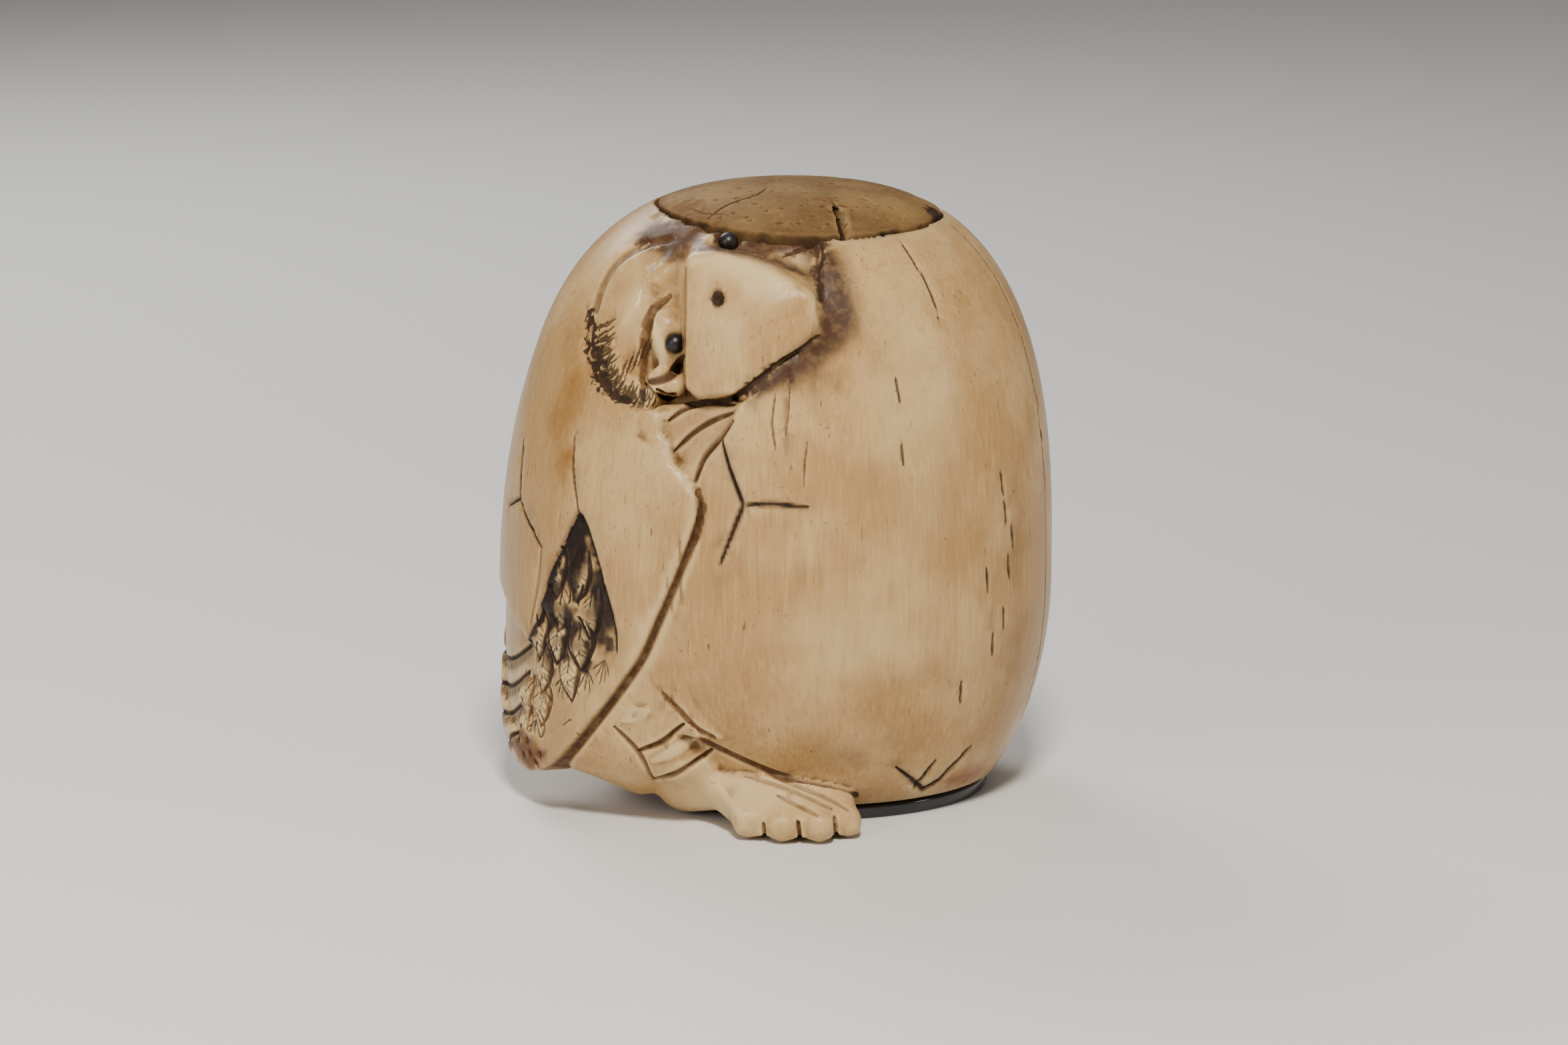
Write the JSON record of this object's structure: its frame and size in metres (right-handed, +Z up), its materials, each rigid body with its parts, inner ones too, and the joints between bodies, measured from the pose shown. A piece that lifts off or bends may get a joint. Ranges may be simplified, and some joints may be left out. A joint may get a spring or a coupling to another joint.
{
  "type": "netsuke",
  "caption": "Egg-shaped bone netsuke carved as a beaked bird goblin breaking out of its shell, with head, folded wing and foot showing, a crown plug and a dark disc underneath",
  "frame": {"origin": "on the ground plane, at the underside of the base disc, below the axis of the egg at its widest height", "axes": "+Z up along the egg, -Y towards the carved front with the head and foot, +X to the right seen from the front"},
  "size_m": [0.0346, 0.0309, 0.0383],
  "materials": {
    "bone": "old bone, polished by handling, with brown grain, ink and grime in the carving",
    "plug_bone": "bone end grain, porous and duller",
    "black_horn": "polished black horn",
    "pupil_horn": "polished dark horn inlay"
  },
  "bodies": {
    "root": {"egg_carving": "bone", "crown_plug": "plug_bone", "base_disc": "black_horn", "near_pupil": "pupil_horn", "far_pupil": "pupil_horn"}
  },
  "joints": []
}
